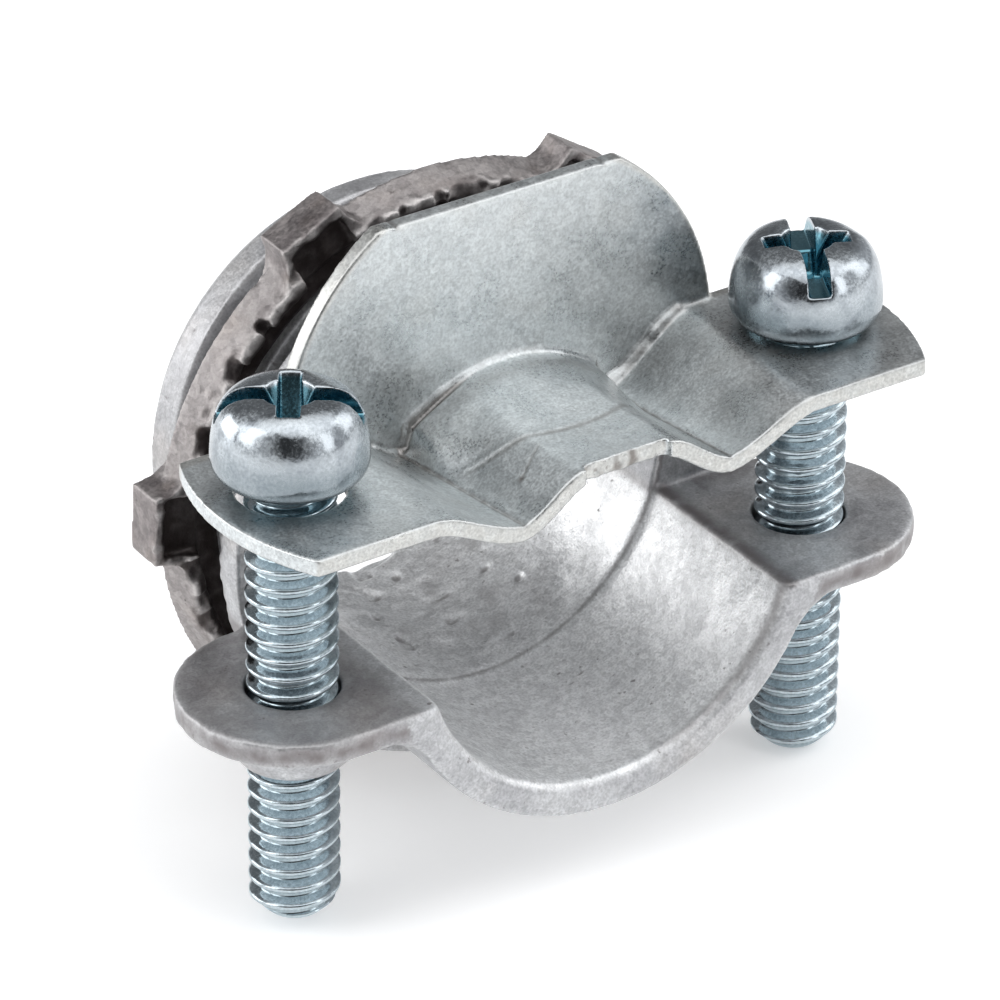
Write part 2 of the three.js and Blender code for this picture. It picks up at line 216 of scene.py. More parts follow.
def drum(radius, y0, y1, segments=160):
    return turned([(0, y0), (radius, y0), (radius, y1), (0, y1)], segments)


def prism(outline, low, high, axis="Z"):
    """Runs a closed anticlockwise outline from low to high.

    The outline is (x, y) pairs along Z, or (x, z) pairs along Y.
    """
    count = len(outline)
    points = []
    for level in (low, high):
        for a, b in outline:
            points.append((a, b, level) if axis == "Z" else (a, level, b))
    faces = [tuple(range(count - 1, -1, -1)), tuple(range(count, 2 * count))]
    for i in range(count):
        j = (i + 1) % count
        faces.append((i, j, j + count, i + count))
    if axis == "Y":
        faces = [face[::-1] for face in faces]
    return new_object("prism", points, faces)


def brick(x0, x1, y0, y1, z0, z1):
    return prism([(x0, y0), (x1, y0), (x1, y1), (x0, y1)], z0, z1)


def arc(cx, cy, radius, start, end, count=24):
    angles = np.linspace(start, end, count)
    return [(cx + radius * math.cos(a), cy + radius * math.sin(a)) for a in angles]


def moved(obj, *steps):
    for step in steps:
        obj.data.transform(step)
    return obj


def stood(obj, x, y, z):
    """Stands a shape made about Y on the Z axis, at x, y, z."""
    return moved(obj, Matrix.Rotation(math.pi / 2, 4, "X"), Matrix.Translation((x, y, z)))


def threaded_rod(root, crest, pitch, y0, y1, segments, rows=12, valley=0.14, flank=0.28):
    """A right-handed thread wound about Y, which runs past y0 and y1 at both ends."""
    turns = math.ceil((y1 - y0) / pitch) + 3
    count = rows * turns + 1
    points = []
    for row in range(count):
        fraction = row % rows / rows
        rise = min(1.0, max(0.0, (0.5 - abs(fraction - 0.5) - valley / 2) / flank))
        radius = root + (crest - root) * rise * rise * (3 - 2 * rise)
        for step in range(segments):
            angle = 2 * math.pi * step / segments
            y = y0 + pitch * (row / rows - 1 + step / segments)
            points.append((radius * math.cos(angle), y, -radius * math.sin(angle)))
    low, high = len(points), len(points) + 1
    points += [(0, y0 - 3 * pitch, 0), (0, y1 + 5 * pitch, 0)]

    def at(row, step):
        return row * segments + step if step < segments else (row + rows) * segments

    top, end = count - 1, segments - 1
    faces = []
    for step in range(segments):
        for row in range(top if step < end else top - rows):
            faces.append((
                at(row, step), at(row, step + 1), at(row + 1, step + 1), at(row + 1, step),
            ))
        faces.append((low, at(0, step + 1), at(0, step)))
        if step < end:
            faces.append((high, at(top, step), at(top, step + 1)))
    for row in range(rows):
        faces.append((low, at(row, 0), at(row + 1, 0)))
        faces.append((high, at(top - row, end), at(top - row - 1, end)))
    faces.append((high, at(top - rows, end), at(top, 0)))
    return new_object("rod", points, faces)


def tube(path, radii, sides=10):
    """A closed tube along a path, with its own radius at each point."""
    path = [Vector(p) for p in path]
    points = []
    for i, point in enumerate(path):
        along = (path[min(i + 1, len(path) - 1)] - path[max(i - 1, 0)]).normalized()
        side = along.orthogonal().normalized()
        other = along.cross(side)
        for k in range(sides):
            angle = 2 * math.pi * k / sides
            offset = math.cos(angle) * side + math.sin(angle) * other
            points.append(point + float(radii[i]) * offset)
    faces = closed_ring(len(path), sides, False)
    last = (len(path) - 1) * sides
    faces.append(tuple(range(sides - 1, -1, -1)))
    faces.append(tuple(range(last, last + sides)))
    return new_object("tube", points, faces)


def joined(obj, *others):
    """Puts the others' faces in the same object. A remesh makes one skin of them."""
    points = [v.co.copy() for v in obj.data.vertices]
    faces = [tuple(p.vertices) for p in obj.data.polygons]
    for other in others:
        first = len(points)
        points += [v.co.copy() for v in other.data.vertices]
        faces += [tuple(first + v for v in p.vertices) for p in other.data.polygons]
        discard(other)
    discard(obj)
    return new_object("joined", points, faces)


# Vertex work with numpy

def coordinates(mesh):
    values = np.empty(len(mesh.vertices) * 3)
    mesh.vertices.foreach_get("co", values)
    return values.reshape(-1, 3)


def set_coordinates(mesh, values):
    mesh.vertices.foreach_set("co", np.ascontiguousarray(values).ravel())
    mesh.update()


def normals(mesh):
    values = np.empty(len(mesh.vertices) * 3)
    mesh.vertex_normals.foreach_get("vector", values)
    return values.reshape(-1, 3)


def edge_ends(mesh):
    ends = np.empty(len(mesh.edges) * 2, dtype=np.int32)
    mesh.edges.foreach_get("vertices", ends)
    return ends.reshape(-1, 2)


def neighbour_mean(values, ends):
    """The mean over each vertex's neighbours."""
    first = np.concatenate([ends[:, 0], ends[:, 1]])
    second = np.concatenate([ends[:, 1], ends[:, 0]])
    count = np.maximum(np.bincount(first, minlength=len(values)), 1)
    if values.ndim == 1:
        return np.bincount(first, values[second], len(values)) / count
    columns = [np.bincount(first, values[second, k], len(values)) / count for k in range(3)]
    return np.stack(columns, axis=1)


def softened(obj, rounds, where=None):
    """Evens the skin out, which rounds its edges and fills its corners."""
    ends = edge_ends(obj.data)
    points = coordinates(obj.data)
    share = 0.5 if where is None else 0.5 * where(points)[:, None]
    for _ in range(rounds):
        points = points + share * (neighbour_mean(points, ends) - points)
    set_coordinates(obj.data, points)
    return obj


def wave(points, size, seed=0):
    """Smooth value noise from -1 to 1, in lumps about size across, the same on every run."""
    scaled = points / size
    cell = np.floor(scaled).astype(np.int64)
    part = scaled - cell
    part = part * part * (3 - 2 * part)
    total = np.zeros(len(points))
    for corner in range(8):
        offset = np.array([corner & 1, corner >> 1 & 1, corner >> 2 & 1])
        key = cell + offset
        code = key[:, 0] * 73856093 ^ key[:, 1] * 19349663 ^ key[:, 2] * 83492791
        code = code ^ (seed + 1) * 26544357
        code = ((code ^ code >> 13) & 0xFFFFFFFF) * 1274126177 & 0xFFFFFFFF
        value = (code ^ code >> 16) % 65536 / 32767.5 - 1
        total += value * np.prod(np.where(offset, part, 1 - part), axis=1)
    return total


def pushed(obj, depth):
    """Moves the skin outwards by depth(points, normals)."""
    points = coordinates(obj.data)
    facing = normals(obj.data)
    set_coordinates(obj.data, points + facing * depth(points, facing)[:, None])
    return obj


def near(value, centre, width):
    """1 at the centre, falling to 0 a width away."""
    t = np.clip(1 - np.abs(value - centre) / width, 0, 1)
    return t * t * (3 - 2 * t)


def beyond(value, start, end):
    """0 at start, rising to 1 at end."""
    t = np.clip((value - start) / (end - start), 0, 1)
    return t * t * (3 - 2 * t)


def painted(obj, name, values):
    """Stores a value at each vertex for the material to read."""
    layer = obj.data.attributes.new(name, "FLOAT", "POINT")
    layer.data.foreach_set("value", np.clip(values, 0, 1).astype(np.float32))
    return obj


def edges_marked(obj, rounds=3, gain=2.5):
    """Paints how far each spot bulges (above 0.5) or caves in (below 0.5)."""
    mesh = obj.data
    ends = edge_ends(mesh)
    points = coordinates(mesh)
    length = np.linalg.norm(points[ends[:, 0]] - points[ends[:, 1]], axis=1).mean()
    lean = points - neighbour_mean(points, ends)
    bend = np.einsum("ij,ij->i", lean, normals(mesh)) / length
    for _ in range(rounds):
        bend = 0.5 * (bend + neighbour_mean(bend, ends))
    return painted(obj, "edge", 0.5 + gain * bend)


def finished(obj, name, material, body, node):
    """Brings the piece to metres and puts it on its CAD body in place of its CAD node."""
    obj.data.transform(Matrix.Scale(MM, 4))
    obj.name = name
    obj.data.name = name
    obj.data.shade_smooth()
    obj.data.materials.clear()
    obj.data.materials.append(material)
    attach(obj, body)
    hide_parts(node)
    return obj


# Connector body: a zinc die casting

def hole_distance(p):
    """Distance to the axis of the nearer tapped hole."""
    return np.minimum(np.hypot(p[:, 0] - SCREW_X, p[:, 1] - SCREW_Y),
                      np.hypot(p[:, 0] + SCREW_X, p[:, 1] - SCREW_Y))


def body_solid():
    body = turned([
        (0, -COLLAR_THICK),
        (COLLAR_R, -COLLAR_THICK),
        (COLLAR_R, 0),
        (0, 0),
    ])
    thread = keep(
        threaded_rod(
            NIPPLE_ROOT_R, NIPPLE_CREST_R, NIPPLE_PITCH, 0, NIPPLE_LENGTH, 120, 16, 0.16, 0.16,
        ),
        turned([
            (0, -OVERLAP),
            (NIPPLE_ROOT_R - 0.3, -OVERLAP),
            (NIPPLE_ROOT_R - 0.3, 2.0),
            (NIPPLE_CREST_R + OVERLAP, 2.9),
            (NIPPLE_CREST_R + OVERLAP, NIPPLE_LENGTH - 1.2),
            (NIPPLE_CREST_R - 0.8, NIPPLE_LENGTH),
            (0, NIPPLE_LENGTH),
        ]),
    )
    cradle = cut(
        drum(CRADLE_R, CRADLE_FRONT, -OVERLAP),
        brick(-15, 15, CRADLE_FRONT - 1, 1, EAR_TOP, 15),
    )
    ears = prism(
        arc(SCREW_X, SCREW_Y, EAR_R, -math.pi / 2, math.pi / 2)
        + arc(-SCREW_X, SCREW_Y, EAR_R, math.pi / 2, 1.5 * math.pi),
        EAR_TOP - EAR_THICK,
        EAR_TOP,
    )
    relief = drum(NIPPLE_ROOT_R, -OVERLAP, 2.5)
    bosses = [
        stood(
            turned([
                (0, -depth),
                (foot, -depth),
                (BOSS_TOP_R, 0),
                (BOSS_TOP_R, OVERLAP),
                (0, OVERLAP),
            ], 64),
            x, SCREW_Y, EAR_TOP - EAR_THICK,
        )
        for x, (foot, depth) in ((-SCREW_X, LEFT_BOSS), (SCREW_X, RIGHT_BOSS))
    ]
    end_band = turned([
        (NIPPLE_BORE_R + 0.4, NIPPLE_LENGTH - 2.0),
        (NIPPLE_CREST_R - 0.04, NIPPLE_LENGTH - 2.0),
        (NIPPLE_CREST_R - 0.04, NIPPLE_LENGTH - 0.8),
        (NIPPLE_CREST_R - 0.6, NIPPLE_LENGTH - 0.02),
        (NIPPLE_BORE_R + 0.9, NIPPLE_LENGTH - 0.02),
    ])
    corner = math.sqrt(CRADLE_R ** 2 - (EAR_TOP - EAR_THICK) ** 2)
    wedge = [
        (corner - 0.6, EAR_TOP - 1),
        (corner - 0.9, EAR_TOP - EAR_THICK - 1.6),
        (corner + 0.05, EAR_TOP - EAR_THICK - 0.7),
        (corner + 1.3, EAR_TOP - EAR_THICK),
        (corner + 1.3, EAR_TOP - 1),
    ]
    fillets = []
    for side in (-1, 1):
        outline = [(side * x, z) for x, z in wedge[::side]]
        fillets.append(prism(outline, CRADLE_FRONT + 0.05, -COLLAR_THICK, "Y"))
    add(body, relief, thread, cradle, ears, *bosses)
    bore = turned([
        (0, CRADLE_FRONT - 1),
        (BORE_R + 1.5, CRADLE_FRONT - 1),
        (BORE_R, CRADLE_FRONT + 0.5),
        (BORE_R, -COLLAR_THICK - 0.1),
        (NIPPLE_BORE_R, -COLLAR_THICK),
        (NIPPLE_BORE_R, NIPPLE_LENGTH - 0.3),
        (NIPPLE_BORE_R + 1.3, NIPPLE_LENGTH + 1),
        (0, NIPPLE_LENGTH + 1),
    ])
    holes = [
        stood(drum(TAPPED_HOLE_R, -6, 2, 64), side * SCREW_X, SCREW_Y, EAR_TOP)
        for side in (-1, 1)
    ]
    cut(body, bore, *holes)
    # The band and the fillets share faces with the body, so the remesh joins them, not a union.
    return remeshed(joined(body, end_band, *fillets), BODY_CELL)


def castable(p):
    """1 where the skin may be softened, 0 at the thread and in the tapped holes."""
    threaded = beyond(p[:, 1], 1.2, 2.0) * (np.hypot(p[:, 0], p[:, 2]) > NIPPLE_BORE_R + 0.5)
    return (1 - threaded) * beyond(hole_distance(p), TAPPED_HOLE_R, TAPPED_HOLE_R + 0.5)


def body_relief(p, n):
    """Shrinkage, the rough patch in the bore, and the casting's grain."""
    x, y, z = p.T
    radius = np.hypot(x, z)
    inside = beyond(radius, BORE_R + 0.6, BORE_R + 0.1) * (n[:, 1] > -0.5)
    clear = beyond(hole_distance(p), TAPPED_HOLE_R + 0.1, TAPPED_HOLE_R + 0.8)
    sink = -0.03 - 0.015 * wave(p, 3.2, 1)
    rough_patch = inside * beyond(y, -1.2, 0.2) * beyond(x, 8.0, 4.5)
    pits = -0.20 * rough_patch * beyond(wave(p, 1.1, 2), 0.3, 0.8)
    orange = rough_patch * (0.09 * wave(p, 1.2, 4) + 0.03 * wave(p, 0.5, 8))
    few = -0.12 * inside * beyond(wave(p, 0.6, 3), 0.75, 0.95)
    few *= beyond(wave(p, 3.0, 7), 0.1, 0.4)
    ripple = 0.012 * inside * wave(p, 1.1, 9)
    grain = 0.012 * wave(p, 0.38, 5)
    on_sides = beyond(np.abs(x), 13.0, 14.5) * beyond(np.abs(n[:, 2]), 0.9, 0.4)
    rough = 0.06 * on_sides * wave(p, 0.55, 6)
    lump = 0.05 * near(hole_distance(p), 3.4, 0.5) * (n[:, 2] > 0.8)
    return (sink + pits + orange + few + ripple + grain + rough + lump) * clear


def paint_body(body):
    p, n = coordinates(body.data), normals(body.data)
    x, y, z = p.T
    radius = np.hypot(x, z)
    outside = radius > CRADLE_R + 0.2
    on_ears = near(z, EAR_TOP, 0.6) * beyond(radius, BORE_R + 0.6, BORE_R + 1.6) * (n[:, 2] > 0.5)
    # The left ear's top is painted darker than the right's, 0.48 against 0.06.
    on_ears *= np.where(x > 0, 0.06, 0.48)
    ear_sides = near(z, EAR_TOP - EAR_THICK / 2, 1.2) * (np.abs(n[:, 2]) <= 0.5) * outside
    ear_sides *= 0.7 + 0.3 * beyond(wave(p, 0.7, 10), -0.2, 0.5)
    # Painted shade in front of the collar, between it and the ears.
    between = near(y, -2.6, 1.4) * outside * 0.6
    # Painted shade on faces that look down.
    under = beyond(n[:, 2], -0.3, -0.8) * outside * 0.35
    # Painted shade along the step in the bore.
    step = near(y, -COLLAR_THICK, 0.2) * (radius < BORE_R + 0.2) * 0.7
    # Painted shade behind the collar, in the gap before the locknut.
    shoulder = near(y, 1.2, 2.2) * (radius > NIPPLE_ROOT_R - 0.3) * 0.8
    # Painted shade in the roots of the nipple's thread.
    root = near(radius, NIPPLE_ROOT_R, 0.5) * (y > 2.4) * 0.75
    blotched = beyond(x, 8.0, 4.5) * beyond(y, -1.2, 0.2) * (radius < NIPPLE_BORE_R + 0.5)
    blotched *= 0.36 * beyond(wave(p, 1.9, 13) + 0.4 * wave(p, 0.6, 14), 0.0, 0.9)
    inner_edge = near(z, EAR_TOP, 0.5) * near(radius, BORE_R + 0.3, 1.0) * (x > 0) * 0.95
    rim_line = 0.7 * near(radius, BORE_R + 0.1, 0.3)
    rim_line *= near(y, CRADLE_FRONT + 0.5, 0.5) * beyond(x, 1.0, 6.0)
    end_soil = 0.15 * beyond(y, 6.0, 6.6)
    end_soil *= beyond(radius, NIPPLE_ROOT_R + 0.3, NIPPLE_CREST_R - 0.4)
    painted(body, "dirt_and_shade", np.maximum.reduce([
        on_ears, ear_sides, between, under, step, shoulder,
        root, blotched, inner_edge, rim_line, end_soil,
    ]))
    cradle_inside = beyond(radius, BORE_R + 0.5, BORE_R + 0.1)
    cradle_inside *= beyond(z, EAR_TOP + 0.5, EAR_TOP - 0.8)
    painted(body, "polish", cradle_inside)


def connector_body():
    body = body_solid()
    softened(body, 2)
    softened(body, 5, castable)
    pushed(body, body_relief)
    edges_marked(body)
    paint_body(body)
    return body


# Clamp strap: a galvanised steel stamping

def dome_start(x):
    """Where the dome begins, going back from the front edge."""
    return DOME_FRONT + (DOME_SIDE - DOME_FRONT) * (x / VALLEY_X) ** 2


def strap_height(x, y):
    """Height of the upper face: flat ends, two valleys, and an arch with a dome before the plate."""
    across = np.abs(x)
    back = np.clip((y - STRAP_FRONT) / (PLATE_FRONT - STRAP_FRONT), 0, 1)
    valley = VALLEY_FRONT_Z - VALLEY_FALL * back
    climb = np.clip((across - VALLEY_X) / (VALLEY_TOP_X - VALLEY_X), 0, 1)
    outer = valley + (STRAP_TOP - valley) * (0.25 * climb + 0.75 * climb * climb * (3 - 2 * climb))
    climb = np.clip((VALLEY_X - across) / (VALLEY_X - ARCH_HALF), 0, 1)
    rise = 0.35 * climb + 0.65 * climb * climb * (3 - 2 * climb)
    start = dome_start(across)
    along = np.clip((y - start) / (PLATE_FRONT - start), 0, 1)
    plain = valley + (ARCH_FRONT_Z - ARCH_FALL * back - valley) * rise
    shoulder = np.clip((VALLEY_X - across) / DOME_SHOULDER, 0, 1)
    dome = DOME_BACK - DOME_CURVE * x * x
    inner = plain + (dome - plain) * np.sin(math.pi / 2 * along) * shoulder
    return np.where(across >= VALLEY_X, outer, inner)


def strap_sheet():
    """The formed sheet of even thickness, on a close grid."""
    xs = np.arange(-21.6, 21.61, 0.24)
    ys = np.arange(STRAP_FRONT - 1.2, STRAP_BACK + 0.01, 0.2447)
    grid_x, grid_y = np.meshgrid(xs, ys)
    grid_z = strap_height(grid_x, grid_y)
    points = np.stack([grid_x.ravel(), grid_y.ravel(), grid_z.ravel()], axis=1)
    width = len(xs)
    faces = [
        (r * width + c, r * width + c + 1, (r + 1) * width + c + 1, (r + 1) * width + c)
        for r in range(len(ys) - 1)
        for c in range(width - 1)
    ]
    sheet = new_object("sheet", points, faces)
    step = sheet.modifiers.new("thickness", "SOLIDIFY")
    step.thickness = STRAP_THICK
    step.offset = -1
    step.use_even_offset = True
    return bake(sheet)


def along_foot(x0, x1, count, lift, y):
    """Points beside the line where the plate leaves the strap."""
    xs = np.linspace(x0, x1, count)
    zs = strap_height(xs, np.full(count, PLATE_FRONT)) + lift
    return np.stack([xs, np.full(count, y), zs], axis=1)


def strap_solid():
    front = math.acos((STRAP_END_Y - STRAP_FRONT) / STRAP_END_R)
    back = math.acos((STRAP_BACK - STRAP_END_Y) / STRAP_END_R)
    half = math.pi / 2
    plan = arc(STRAP_END_X, STRAP_END_Y, STRAP_END_R, front - half, half - back, 48)
    plan += arc(-STRAP_END_X, STRAP_END_Y, STRAP_END_R, half + back, 3 * half - front, 48)
    strap = keep(strap_sheet(), prism(plan, 0, 12))

    reach = math.sqrt(PLATE_R ** 2 - (STRAP_TOP - 0.5 - PLATE_CENTRE) ** 2)
    foot_x = np.linspace(-reach, reach, 121)
    foot_z = strap_height(foot_x, np.full(121, PLATE_FRONT)) - STRAP_THICK / 2
    foot = list(zip(foot_x, foot_z))
    low = math.asin((STRAP_TOP - 0.5 - PLATE_CENTRE) / PLATE_R)
    high = math.asin((PLATE_TOP - PLATE_CENTRE) / PLATE_R)
    face = foot + arc(0, PLATE_CENTRE, PLATE_R, low, high, 40)[1:]
    face += arc(0, PLATE_CENTRE, PLATE_R, math.pi - high, math.pi - low, 40)[:-1]
    add(strap, prism(face, PLATE_FRONT, PLATE_FRONT + STRAP_THICK, "Y"))

    notch = brick(-NOTCH_HALF, NOTCH_HALF, STRAP_FRONT - 1, STRAP_FRONT + NOTCH_DEPTH, 5.5, 9.5)
    holes = [
        stood(drum(STRAP_HOLE_R, -3, 2, 64), side * SCREW_X, SCREW_Y, STRAP_TOP)
        for side in (-1, 1)
    ]
    cut(strap, notch, *holes)

    lip_path = along_foot(-6.0, 5.9, 60, 0.05, PLATE_FRONT - 0.04)
    lip = tube(lip_path, 0.12 + 0.05 * wave(lip_path, 0.8, 11))
    burr_path = along_foot(6.3, 11.3, 60, 0.10, PLATE_FRONT - 0.10)
    burr_path[:, 2] += 0.09 * wave(burr_path, 0.7, 12)
    burr = tube(burr_path, (0.36 + 0.08 * wave(burr_path, 0.6, 13)) * np.linspace(1.0, 0.7, 60))
    tail_path = along_foot(11.2, 13.3, 16, 0.03, PLATE_FRONT - 0.04)
    tail = tube(tail_path, np.linspace(0.2, 0.08, 16))
    nick_path = along_foot(-8.0, -6.35, 12, 0.08, PLATE_FRONT - 0.06)
    nick = tube(nick_path, np.linspace(0.08, 0.22, 12))
    return remeshed(joined(strap, lip, burr, tail, nick), STRAP_CELL)


def foot_distance(p):
    """How far in front of and above the line where the plate leaves the strap."""
    line = strap_height(p[:, 0], np.full(len(p), PLATE_FRONT))
    return PLATE_FRONT - p[:, 1], p[:, 2] - line


def strap_relief(p, n):
    """Creases, the dome's edge, a scratch, the torn edge and slight dents."""
    x, y, z = p.T
    top = beyond(n[:, 2], 0.3, 0.8)
    crease = -0.08 * top * near(np.abs(x), VALLEY_X, 0.3)
    second = -0.025 * top * near(x, VALLEY_X * -1.42, 0.4) * beyond(y, -5.5, -8.5)
    start = dome_start(x)
    line = 0.06 * top * near(y, start + 0.15, 0.35) * beyond(np.abs(x), 6.2, 5.0)
    faint = 0.02 * top * near(y, start - 0.9, 0.3) * near(x, -1.0, 3.0)
    scratch = -0.03 * top * near(y - 0.55 * x, -9.3, 0.14)
    scratch *= beyond(x, -4.9, -4.5) * beyond(x, -2.6, -3.2)
    ahead, above = foot_distance(p)
    gap = near(np.hypot(ahead - 0.34, above), 0, 0.3)
    gap *= beyond(x, -6.6, -6.2) * beyond(x, -1.5, -5.4)
    cut_edge = beyond(-n[:, 1], 0.6, 0.9) * beyond(y, -12.5, -13.5)
    ragged = 0.05 * cut_edge * wave(p, 0.35, 14) * (0.5 + 1.6 * (np.abs(x) < 2.7))
    dents = 0.012 * wave(p, 2.4, 15) + 0.005 * wave(p, 0.8, 16)
    foot = near(ahead, 0.1, 0.7) * near(above, 0.1, 0.9)
    crumple = 0.06 * wave(p, 0.6, 17) * foot * beyond(x, 6.1, 6.6) * beyond(x, 13.0, 10.5)
    marks = crease + second + line + faint + scratch
    return -0.02 + marks - 0.3 * gap + ragged + dents + crumple


def paint_strap(strap):
    p, n = coordinates(strap.data), normals(strap.data)
    x, y, z = p.T
    rim = beyond(-n[:, 1], 0.5, 0.9) * beyond(y, -9, -12)
    outline = beyond(np.hypot(x, z - PLATE_CENTRE), 13.0, 13.3) * beyond(y, -3.4, -3.1)
    painted(strap, "polish", np.maximum(rim, outline))
    ahead, above = foot_distance(p)
    near_foot = near(np.hypot(ahead - 0.3, above), 0, 0.5)
    mouth = near_foot * beyond(x, -6.9, -6.3) * beyond(x, -2.0, -5.0)
    # Painted shadow under the burr's fold.
    burr_shadow = near(ahead, 0.15, 0.9) * near(above, 0.0, 0.9)
    burr_shadow *= beyond(x, 6.0, 6.6) * beyond(x, 13.6, 12.0)
    burr_shadow *= 0.5 + 0.25 * beyond(wave(p, 0.5, 19), -0.3, 0.4)
    # Painted shade where the dome's sides meet the valleys by the plate.
    sides = 0.7 * near(np.abs(x), VALLEY_X - 0.15, 0.4) * beyond(y, -6.5, -4.0)
    sides *= (z < 8.0) * (y < PLATE_FRONT)
    pit = near(np.hypot(x + 4.6, y + 11.8), 0, 0.3) * (n[:, 2] > 0.5)
    scratch = 0.5 * near(y - 0.55 * x, -9.3, 0.16)
    scratch *= beyond(x, -4.9, -4.5) * beyond(x, -2.6, -3.2)
    fracture = (np.abs(x) < 2.7) * rim * beyond(wave(p, 0.5, 18), -0.1, 0.6)
    start = dome_start(x)
    upward = beyond(n[:, 2], 0.3, 0.7)
    # Painted shade along the valley creases and the dome's front edge.
    creases = 0.5 * upward * near(np.abs(x), VALLEY_X, 0.22)
    dome_line = 0.5 * upward * near(y, start - 0.2, 0.3) * beyond(np.abs(x), 6.2, 5.0)
    dome_shade = 0.3 * upward * near(ahead, 1.2, 1.1) * beyond(np.abs(x), 6.2, 5.4)
    # Painted shade over the strap's right side, uneven in patches.
    shaded_right_side = upward * beyond(x, 6.5, 9.0)
    shaded_right_side *= 0.16 + 0.14 * beyond(wave(p, 2.2, 20), -0.4, 0.5)
    painted(strap, "dirt_and_shade", np.maximum.reduce([
        mouth, burr_shadow, sides, pit, scratch,
        0.8 * fracture, creases, dome_line, dome_shade, shaded_right_side,
    ]))


def clamp_strap():
    strap = strap_solid()
    softened(strap, 3)
    pushed(strap, strap_relief)
    edges_marked(strap)
    paint_strap(strap)
    return strap


# Clamp screws: zinc-plated steel, made about Y with the head's seat at y = 0

def screw_thread():
    tip = -SCREW_LENGTH
    return keep(
        threaded_rod(SCREW_ROOT_R, SCREW_CREST_R, SCREW_PITCH, tip, 0.2, 72, 16, 0.2, 0.34),
        turned([
            (0, tip),
            (1.3, tip),
            (1.5, tip + 0.12),
            (SCREW_CREST_R + 0.05, tip + 1.1),
            (SCREW_CREST_R + 0.05, -1.2),
            (SCREW_ROOT_R + 0.2, -0.55),
            (SCREW_ROOT_R + 0.2, 0.6),
            (0, 0.6),
        ], 96),
    )


def screw_head():
    outline = [(0, 0)]
    for angle in np.linspace(0, math.pi / 2, 10):
        bulge = HEAD_FOOT_R + (HEAD_R - HEAD_FOOT_R) * math.sin(angle)
        outline.append((bulge, HEAD_WAIST * (1 - math.cos(angle))))
    for angle in np.linspace(0, math.pi / 2, 36)[1:-1]:
        crown = HEAD_WAIST + (HEAD_HEIGHT - HEAD_WAIST) * math.sin(angle)
        outline.append((HEAD_R * math.cos(angle) ** CROWN_FULLNESS, crown))
    outline.append((0, HEAD_HEIGHT))
    head = turned(outline, 96)
    top = HEAD_HEIGHT + 0.3
    slot = prism(
        [(-6, SLOT_FLOOR), (6, SLOT_FLOOR), (6, top + 1), (-6, top + 1)],
        -SLOT_HALF, SLOT_HALF,
    )
    wings = []
    for turn in (0, math.pi / 2):
        wing = prism(
            [(-0.9, CROSS_FLOOR), (0.9, CROSS_FLOOR), (2.6, top), (-2.6, top)],
            -CROSS_HALF, CROSS_HALF,
        )
        wings.append(moved(wing, Matrix.Rotation(turn, 4, "Y")))
    cone = turned([(0, CROSS_FLOOR - 0.2), (0.5, CROSS_FLOOR), (1.5, top), (0, top)], 48)
    cut(head, slot, *wings, cone)
    return remeshed(head, HEAD_CELL)


def head_relief(p, n):
    crown = beyond(p[:, 1], HEAD_WAIST, HEAD_HEIGHT)
    return -0.02 + (0.012 + 0.03 * crown) * wave(p, 1.5, 21) + 0.006 * wave(p, 0.45, 22)


def paint_screw(screw):
    p, n = coordinates(screw.data), normals(screw.data)
    radius = np.hypot(p[:, 0], p[:, 2])
    crown = HEAD_WAIST + (HEAD_HEIGHT - HEAD_WAIST) * np.sqrt(
        np.clip(1 - (np.clip(radius / HEAD_R, 0, 1)) ** (2 / CROWN_FULLNESS), 0, 1))
    recess = beyond(crown - p[:, 1], 0.12, 0.4) * (p[:, 1] > HEAD_WAIST) * (radius < HEAD_R - 0.25)
    collar = near(p[:, 1], -0.3, 0.9) * (radius < HEAD_FOOT_R)
    threads = 0.22 * beyond(p[:, 1], -0.2, -0.6)
    painted(screw, "tint", np.maximum.reduce([recess, 0.9 * collar, threads]))
    painted(screw, "dull", beyond(p[:, 1], -0.1, 0.6))
    # Painted shade in the thread's roots.
    valley = near(radius, SCREW_ROOT_R, 0.22) * (p[:, 1] < -0.6)
    # Painted dark reflection, in patches, on the lower part of the head.
    low_head = beyond(p[:, 1], 2.9, 1.3) * beyond(p[:, 1], -0.05, 0.1)
    low_head *= 0.42 + 0.22 * beyond(wave(p, 1.4, 23), -0.3, 0.5)
    painted(screw, "dirt_and_shade", np.maximum(0.4 * valley, low_head))
    painted(screw, "polish", 0.55 * beyond(p[:, 1], -0.3, -0.9))


def clamp_screw():
    thread = screw_thread()
    head = screw_head()
    softened(head, 3)
    pushed(head, head_relief)
    screw = add(thread, head)
    edges_marked(screw, 2, 0.6)
    paint_screw(screw)
    return screw


# Locknut: a zinc die casting

